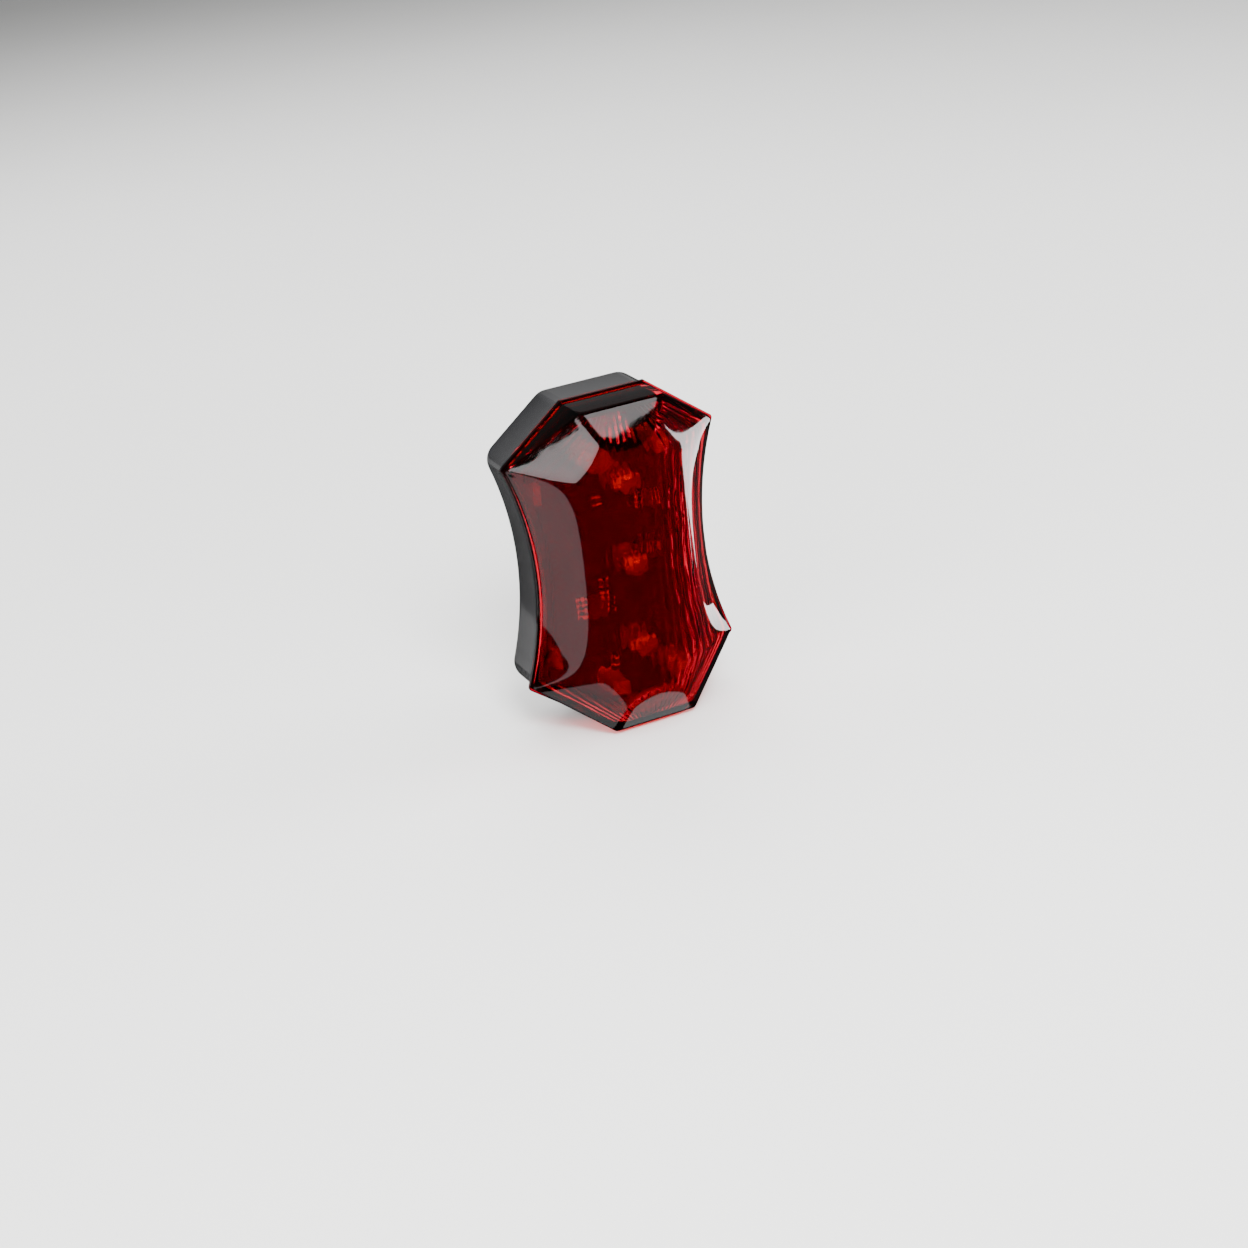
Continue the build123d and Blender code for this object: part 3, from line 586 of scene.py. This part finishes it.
def screw_bosses():
    """Round bosses with a blind hole, which take the board's screws."""
    bm = bmesh.new()
    for x, z in ((BOSS_X, -BOSS_Z), (-BOSS_X, BOSS_Z)):
        profile = [
            (0, BOSS_HOLE_TOP), (BOSS_HOLE_R, BOSS_HOLE_TOP - 0.4 * MM), (BOSS_HOLE_R, BOARD_FACE),
            (BOSS_R - 0.2 * MM, BOARD_FACE), (BOSS_R, BOARD_FACE + 0.2 * MM), (BOSS_R, FITTING_TOP),
            (0, FITTING_TOP),
        ]
        add_turned(bm, profile, spot(x, 0, z), LENS_SIDE)
    follow_roof(bm, 7.9 * MM)
    return finish_mesh(bm, "screw_bosses", FITTING_RED, "front_unit", 40.0)


def locating_posts():
    """Square posts that the board rests on."""
    bm = bmesh.new()
    for x, z in ((-BOSS_X, -BOSS_Z), (BOSS_X, BOSS_Z)):
        add_box(
            bm, spot(x - POST_HALF, FITTING_TOP, z - POST_HALF),
            spot(x + POST_HALF, BOARD_FACE + 0.02 * MM, z + POST_HALF), 0.2 * MM,
        )
    follow_roof(bm, 7.5 * MM)
    return finish_mesh(bm, "locating_posts", FITTING_RED, "front_unit", 40.0)


LEG_X, LEG_Z = WAIST - 2.9 * MM, CORNER_Z - 6.1 * MM
LEG_THICK, LEG_HALF, LEG_DEPTH = 1.2 * MM, 2.25 * MM, 6.0 * MM


def snap_legs():
    """Flat legs that reach down into the housing."""
    bm = bmesh.new()
    for side in (-1, 1):
        for end in (-1, 1):
            x0, x1 = side * LEG_X, side * (LEG_X + LEG_THICK)
            z0, z1 = end * LEG_Z - LEG_HALF, end * LEG_Z + LEG_HALF
            add_box(
                bm, (min(x0, x1), RIM_Y - 1.6 * MM, z0), (max(x0, x1), RIM_Y + LEG_DEPTH, z1), 0.15 * MM
            )
    follow_roof(bm, 1.2 * MM)
    return finish_mesh(bm, "snap_legs", FITTING_RED, "front_unit", 40.0)


screw_bosses()
locating_posts()
snap_legs()

# --- lamps ---------------------------------------------------------------------------------------

LEAD_HALF = 0.22 * MM
LEAD_OUT = 1.27 * MM
DIE_OUT = 0.55 * MM


def lamp_middle(node):
    """X and Z of a lamp's axis."""
    low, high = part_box(node)
    return (low.x + high.x) / 2, (low.z + high.z) / 2


def lamp_frame(node, name):
    """The two metal posts inside a lamp: one with the cup for the die, one with the wire's foot."""
    x, z = lamp_middle(node)
    bm = bmesh.new()
    for side in (-1, 1):
        post_x = x + side * LEAD_OUT
        add_box(
            bm, spot(post_x - LEAD_HALF, 4.2 * MM, z - LEAD_HALF),
            spot(post_x + LEAD_HALF, BOARD_FACE + 0.05 * MM, z + LEAD_HALF), 0.05 * MM,
        )
    add_box(
        bm, spot(x - LEAD_OUT - LEAD_HALF, 5.2 * MM, z - 0.5 * MM),
        spot(x - 0.15 * MM, 3.6 * MM, z + 0.5 * MM), 0.12 * MM,
    )
    add_box(
        bm, spot(x + 0.35 * MM, 5.5 * MM, z - 0.3 * MM),
        spot(x + LEAD_OUT + LEAD_HALF, 3.9 * MM, z + 0.3 * MM), 0.12 * MM,
    )
    cup = [
        (0, 5.25 * MM), (0.45 * MM, 5.25 * MM), (0.78 * MM, 5.75 * MM), (0.88 * MM, 5.72 * MM),
        (0.80 * MM, 4.9 * MM), (0, 4.9 * MM),
    ]
    add_turned(bm, cup, spot(x - DIE_OUT, 0, z), LENS_SIDE, 32)
    return finish_mesh(bm, name, TINNED, "front_unit")


def lamp_die(node, name):
    """The die in its cup, under a drop of yellow phosphor."""
    x, z = lamp_middle(node)
    drop = [
        (0, 5.62 * MM), (0.3 * MM, 5.58 * MM), (0.5 * MM, 5.42 * MM), (0.44 * MM, 5.27 * MM), (0, 5.27 * MM),
    ]
    return turned(name, drop, spot(x - DIE_OUT, 0, z), LENS_SIDE, PHOSPHOR, "front_unit", 32)


for lamp in ("top", "middle", "bottom"):
    lamp_frame(f"led_{lamp}", f"lamp_frame_{lamp}")
    lamp_die(f"led_{lamp}", f"lamp_die_{lamp}")

# --- small parts on the board --------------------------------------------------------------------


CAP_SKIN = 0.02 * MM
RESISTOR_CAP = 0.4 * MM
RESISTOR_HALF = 1.0 * MM
RESISTOR_BELOW_LAMP = 4.6 * MM
CAPACITOR_CAP = 0.55 * MM


def end_caps():
    """Tinned caps on both ends of each resistor and of the capacitor."""
    bm = bmesh.new()
    skin = CAP_SKIN
    low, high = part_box("resistors")
    for lamp in ("top", "middle", "bottom"):
        z = lamp_middle(f"led_{lamp}")[1] - RESISTOR_BELOW_LAMP
        for end in (-1, 1):
            z0, z1 = z + end * (RESISTOR_HALF - RESISTOR_CAP), z + end * (RESISTOR_HALF + skin)
            add_box(
                bm, (low.x - skin, low.y - skin, min(z0, z1)), (high.x + skin, high.y - skin, max(z0, z1)),
                0.05 * MM,
            )
    low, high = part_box("capacitor")
    for end in (low, high):
        inward = CAPACITOR_CAP if end is low else -CAPACITOR_CAP
        x0, x1 = end.x + inward, end.x - math.copysign(skin, inward)
        add_box(
            bm, (min(x0, x1), low.y - skin, low.z - skin), (max(x0, x1), high.y - skin, high.z + skin),
            0.08 * MM,
        )
    return finish_mesh(bm, "end_caps", TINNED, "front_unit")


CHIP_PITCH = 1.27 * MM
PAD_R = 0.62 * MM


def solder_joints():
    """Solder cones round the lamp leads under the board, and fillets at the chip's feet."""
    bm = bmesh.new()
    under = RIM_Y - board_high.y
    for lamp in ("top", "middle", "bottom"):
        x, z = lamp_middle(f"led_{lamp}")
        for side in (-1, 1):
            cone = [
                (0, under - 0.34 * MM), (0.34 * MM, under - 0.28 * MM), (0.5 * MM, under - 0.12 * MM),
                (0.8 * MM, under), (0, under),
            ]
            add_turned(bm, cone, spot(x + side * LEAD_OUT, 0, z), LENS_SIDE, 24)
    low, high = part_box("chip_legs")
    for side_x in (low.x, high.x):
        for n in range(4):
            z = (low.z + high.z) / 2 + (n - 1.5) * CHIP_PITCH
            pad = [
                (0, BOARD_FACE + 0.14 * MM), (0.22 * MM, BOARD_FACE + 0.12 * MM), (PAD_R, BOARD_FACE),
                (0, BOARD_FACE),
            ]
            add_turned(bm, pad, spot(side_x, 0, z), LENS_SIDE, 16)
    return finish_mesh(bm, "solder_joints", TINNED, "front_unit")


def coil_winding():
    """Copper turns in the coil's window."""
    low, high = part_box("power_coil")
    centre = Vector(((low.x + high.x) / 2, RIM_Y, (low.z + high.z) / 2))
    top = RIM_Y - low.y
    floor_h = top - 0.48 * MM
    profile = [(0.32 * MM, floor_h)]
    turns = 6
    for n in range(turns):
        r = 0.36 * MM + n * 0.15 * MM
        profile += [
            (r, floor_h + 0.12 * MM), (r + 0.075 * MM, floor_h + 0.2 * MM),
            (r + 0.14 * MM, floor_h + 0.12 * MM),
        ]
    profile += [(0.36 * MM + turns * 0.15 * MM, floor_h), (0.32 * MM, floor_h)]
    return turned("coil_winding", profile, centre, LENS_SIDE, COPPER_WIRE, "front_unit", 40)


def cell_washers():
    """Insulating washers round the cells' tips."""
    bm = bmesh.new()
    for node, end in (("cell_left", 1), ("cell_right", -1)):
        low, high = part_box(node)
        x, y = (low.x + high.x) / 2, (low.y + high.y) / 2
        tip = high.z if end > 0 else low.z
        shoulder = 1.2 * MM
        profile = [
            (2.1 * MM, -shoulder), (2.1 * MM, -shoulder + 0.12 * MM), (4.5 * MM, -shoulder + 0.12 * MM),
            (4.6 * MM, -shoulder), (2.1 * MM, -shoulder),
        ]
        add_turned(bm, profile, (x, y, tip), (0, 0, end), 48)
    return finish_mesh(bm, "cell_washers", SEAL_BLACK, "housing")


end_caps()
solder_joints()
coil_winding()
cell_washers()

# --- clip spring, in two pieces that part at the hinge -------------------------------------------


def wire(name, points, radius, material, body):
    """A round wire along a smooth line through the points."""
    curve = bpy.data.curves.new(name, "CURVE")
    curve.dimensions = "3D"
    curve.bevel_depth = radius
    curve.bevel_resolution = 3
    curve.resolution_u = 4
    curve.use_fill_caps = True
    spline = curve.splines.new("NURBS")
    spline.points.add(len(points) - 1)
    for point, place in zip(spline.points, points):
        point.co = (*place, 1.0)
    spline.use_endpoint_u = True
    spline.order_u = 3
    holder = bpy.data.objects.new(name + "_line", curve)
    bpy.context.scene.collection.objects.link(holder)
    bpy.context.view_layer.update()
    mesh = bpy.data.meshes.new_from_object(holder)
    bpy.data.objects.remove(holder)
    bm = bmesh.new()
    bm.from_mesh(mesh)
    bpy.data.meshes.remove(mesh)
    return finish_mesh(bm, name, material, body)


pin_low, pin_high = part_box("hinge_pin")
spring_low, spring_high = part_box("clip_spring")
PIN = Vector((0, (pin_low.y + pin_high.y) / 2, (pin_low.z + pin_high.z) / 2))
SPRING_WIRE_R = 0.35 * MM
SPRING_COIL_R = 2.0 * MM
SPRING_PITCH = 0.8 * MM
SPRING_HALF = 1.7 * MM


def coil_points(start_turn, end_turn, steps_per_turn=16):
    """Points of the torsion spring's helix round the pin, between two turns."""
    points = []
    steps = round((end_turn - start_turn) * steps_per_turn)
    for n in range(steps + 1):
        turn = start_turn + (end_turn - start_turn) * n / steps
        angle = 2 * math.pi * turn - math.pi / 2
        offset = Vector((0, math.cos(angle), math.sin(angle))) * SPRING_COIL_R
        points.append(PIN + offset + Vector((turn * SPRING_PITCH - SPRING_HALF, 0, 0)))
    return points


def clip_spring_halves():
    """The coil with its housing leg stays put; the last quarter turn and the clip leg ride the clip."""
    on_housing = spring_low.y + SPRING_WIRE_R
    leg_top = spring_high.z - 0.02 * MM
    coil = coil_points(0.0, 3.99)
    x, start_z = coil[0].x, coil[0].z
    low_leg = [
        Vector((x, on_housing, leg_top)), Vector((x, on_housing, start_z + 2.0 * MM)),
        Vector((x, on_housing, start_z)), Vector((x, on_housing + 1.2 * MM, start_z)),
    ]
    wire(
        "clip_spring_coil", low_leg + coil, SPRING_WIRE_R, SPRING_WIRE, "housing"
    )
    tail = coil_points(4.0, 4.25)
    end = tail[-1]
    on_plate = 2.3 * MM - SPRING_WIRE_R - 0.02 * MM
    high_leg = [
        Vector((end.x, end.y, end.z + 1.8 * MM)), Vector((end.x, on_plate, end.z + 5.2 * MM)),
        Vector((end.x, on_plate, leg_top)),
    ]
    return wire(
        "clip_spring_leg", tail + high_leg, SPRING_WIRE_R, SPRING_WIRE, "clip"
    )


spring_leg = clip_spring_halves()
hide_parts("clip_spring")

# --- CAD nodes that keep their shape -------------------------------------------------------------

FINISHES = {
    "lens_seal": SEAL_BLACK,
    "housing": GLOSS_BLACK,
    "circuit_board": SOLDER_MASK,
    "led_top": LAMP_RESIN,
    "led_middle": LAMP_RESIN,
    "led_bottom": LAMP_RESIN,
    "led_leads": TINNED,
    "board_screws": ZINC,
    "driver_chip": PART_BLACK,
    "chip_legs": TINNED,
    "resistors": PART_BLACK,
    "capacitor": PART_BLACK,
    "power_coil": PART_BLACK,
    "switch_body": PART_GREY,
    "switch_plunger": PART_BLACK,
    "button": BUTTON_BLACK,
    "cell_left": CELL_SLEEVE,
    "cell_right": CELL_SLEEVE,
    "contact_springs": NICKEL,
    "contact_plates": NICKEL,
    "clip_lever": GRAINED_BLACK,
    "clip_pad": BUTTON_BLACK,
    "hinge_pin": TURNED_STEEL,
}
for node, finish in FINISHES.items():
    paint(node, finish)

# --- stage, lamps and camera ---------------------------------------------------------------------


FLOOR_HALF = 4.0
FLOOR_DROP = 0.2 * MM


def make_stage():
    """A plain pale floor."""
    bm = bmesh.new()
    bmesh.ops.create_grid(bm, x_segments=8, y_segments=8, size=FLOOR_HALF)
    bmesh.ops.translate(bm, vec=(0, 0, cad_low.z - FLOOR_DROP), verts=bm.verts)
    material, tree, shader, coords = new_material("studio_floor")
    tone = noise(tree, coords, 3.0)
    colour = ramp(tree, tone, [(0.3, (0.74, 0.74, 0.73)), (0.7, (0.78, 0.78, 0.77))])
    tree.links.new(colour, shader.inputs["Base Color"])
    shader.inputs["Roughness"].default_value = 0.8
    floor = finish_mesh(bm, "studio_floor", material, None, outward=False)
    floor.visible_glossy = False
    return floor


def softbox(name, place, aim, size, power):
    """A large soft lamp that faces a point."""
    lamp = bpy.data.lights.new(name, "AREA")
    lamp.shape = "RECTANGLE"
    lamp.size, lamp.size_y = size
    lamp.energy = power
    holder = bpy.data.objects.new(name, lamp)
    bpy.context.scene.collection.objects.link(holder)
    holder.location = place
    holder.rotation_euler = (aim - place).to_track_quat("-Z", "Y").to_euler()
    holder.visible_camera = False
    return holder


make_stage()
MIDDLE = Vector((0, RIM_Y, 0))


def heading(azimuth, elevation):
    """Direction from the object: azimuth from the front towards +X, elevation above level, in degrees."""
    a, e = math.radians(azimuth), math.radians(elevation)
    return Vector((math.sin(a) * math.cos(e), -math.cos(a) * math.cos(e), math.sin(e)))


def soft_light(name, azimuth, elevation, distance, size, power, sparkles=False):
    """A softbox that lights without showing in gloss; one that sparkles is seen from inside the lens."""
    lamp = softbox(name, MIDDLE + heading(azimuth, elevation) * distance, MIDDLE, size, power)
    lamp.visible_glossy = False
    lamp.visible_transmission = sparkles
    return lamp


def reflector(name, corners, distance, glow, streak):
    """A glowing card that shows only in gloss, as wide as its corners' azimuths and elevations."""
    bm = bmesh.new()
    verts = [bm.verts.new(MIDDLE + heading(a, e) * distance) for a, e in corners]
    bmesh.ops.contextual_create(bm, geom=verts)
    material = bpy.data.materials.new(name)
    material.use_nodes = True
    tree = material.node_tree
    tree.nodes.clear()
    coords = tree.nodes.new("ShaderNodeTexCoord").outputs["Object"]
    light = tree.nodes.new("ShaderNodeEmission")
    patch = noise(tree, coords, 4.0, 1.0)
    tree.links.new(spread(tree, patch, glow * (1 - streak), glow * (1 + streak)), light.inputs["Strength"])
    output = tree.nodes.new("ShaderNodeOutputMaterial")
    tree.links.new(light.outputs["Emission"], output.inputs["Surface"])
    card = finish_mesh(bm, name, material, None, outward=False)
    card.visible_camera = False
    card.visible_diffuse = False
    card.visible_transmission = False
    card.visible_shadow = False
    return card


soft_light("key_light", -8, 44, 0.75, (0.28, 0.28), 12.0, sparkles=True)
soft_light("left_light", -60, 25, 0.70, (0.5, 0.4), 5.0)
soft_light("right_light", 80, 20, 0.70, (0.3, 0.5), 5.0)
soft_light("back_light", 165, 45, 0.80, (0.6, 0.4), 6.0)
soft_light("back_left_light", -140, 20, 0.80, (0.3, 0.6), 3.0)
soft_light("top_light", 60, 85, 0.80, (0.7, 0.7), 7.0)

CARD_FAR = 0.9
reflector(
    "card_left_level",
    [(-56, -16), (-49.5, -1.5), (-47.4, -0.4), (-44, 0.5), (-39, -1.5), (-42, -8), (-47, -14)],
    CARD_FAR, 4.8, 0.6,
)
reflector(
    "card_front_high", [(0, 29.7), (21, 30.5), (25.5, 30.9), (26.5, 31.1), (31, 31.4), (31, 42), (0, 42)],
    CARD_FAR, 5.5, 0.3,
)
reflector(
    "card_left_below",
    [(-60.5, -17.4), (-54.1, -18.6), (-53, -21.6), (-56.8, -24), (-64.5, -35.2), (-68, -44), (-90, -44),
     (-90, -12), (-78, -12.8), (-67.3, -14.1)],
    CARD_FAR, 1.6, 0.2,
)
reflector(
    "card_right_strip",
    [(91.5, -8.6), (93.5, -8.2), (96, -11.5), (105, -16), (113, -19.4), (113.5, -22.5), (94, -22.8),
     (96.5, -20), (94, -14)],
    CARD_FAR, 9.0, 0.05,
)
reflector("card_left_floor", [(-60, -47), (-47, -47), (-47, -37), (-60, -37)], CARD_FAR, 1.3, 0.3)
reflector("card_right_floor", [(50, -72), (85, -72), (88, -64), (50, -62)], CARD_FAR, 1.5, 0.3)
reflector("card_back_left", [(-178, -16), (-140, -16), (-140, -4), (-178, -4)], CARD_FAR, 0.5, 0.3)
reflector("card_behind", [(135, 8), (178, 8), (178, 36), (135, 36)], CARD_FAR, 0.3, 0.4)


def studio_air():
    """Pale air that the object's front mirrors as dark and its back as pale."""
    world = bpy.data.worlds.new("studio_air")
    world.use_nodes = True
    tree = world.node_tree
    seen = tree.nodes["Background"]
    seen.inputs["Color"].default_value = (0.86, 0.87, 0.88, 1.0)
    seen.inputs["Strength"].default_value = 0.8
    around = tree.nodes.new("ShaderNodeBackground")
    coords = tree.nodes.new("ShaderNodeTexCoord")
    split = tree.nodes.new("ShaderNodeSeparateXYZ")
    tree.links.new(coords.outputs["Generated"], split.inputs["Vector"])
    fade = tree.nodes.new("ShaderNodeMapRange")
    fade.inputs["From Min"].default_value = -0.1
    fade.inputs["From Max"].default_value = 1.0
    fade.inputs["To Min"].default_value = 0.02
    fade.inputs["To Max"].default_value = 0.14
    tree.links.new(split.outputs["Y"], fade.inputs["Value"])
    tree.links.new(fade.outputs["Result"], around.inputs["Strength"])
    fill = tree.nodes.new("ShaderNodeBackground")
    fill.inputs["Strength"].default_value = 0.22
    path = tree.nodes.new("ShaderNodeLightPath")
    filled = tree.nodes.new("ShaderNodeMixShader")
    tree.links.new(path.outputs["Is Diffuse Ray"], filled.inputs["Fac"])
    tree.links.new(around.outputs["Background"], filled.inputs[1])
    tree.links.new(fill.outputs["Background"], filled.inputs[2])
    mix = tree.nodes.new("ShaderNodeMixShader")
    tree.links.new(path.outputs["Is Camera Ray"], mix.inputs["Fac"])
    tree.links.new(filled.outputs["Shader"], mix.inputs[1])
    tree.links.new(seen.outputs["Background"], mix.inputs[2])
    tree.links.new(mix.outputs["Shader"], tree.nodes["World Output"].inputs["Surface"])
    bpy.context.scene.world = world


studio_air()

CAMERA_PLACE = Vector((-184.46, -425.29, 187.93)) * MM
CAMERA_RIGHT = Vector((0.8943, -0.4353, -0.1039))
CAMERA_UP = Vector((0.2626, 0.3224, 0.9095))
CAMERA_LENS = 69.753


def make_camera():
    """The camera, in front of the object, to its left and above."""
    data = bpy.data.cameras.new("product_camera")
    data.lens = CAMERA_LENS
    data.sensor_width = 36.0
    data.clip_start = 0.01
    data.clip_end = 20.0
    camera = bpy.data.objects.new("product_camera", data)
    bpy.context.scene.collection.objects.link(camera)
    right = CAMERA_RIGHT.normalized()
    back = right.cross(CAMERA_UP).normalized()
    up = back.cross(right)
    turn = Matrix((right, up, back)).transposed()
    camera.matrix_world = Matrix.Translation(MIDDLE + CAMERA_PLACE) @ turn.to_4x4()
    bpy.context.scene.camera = camera


make_camera()

bpy.context.view_layer.update()
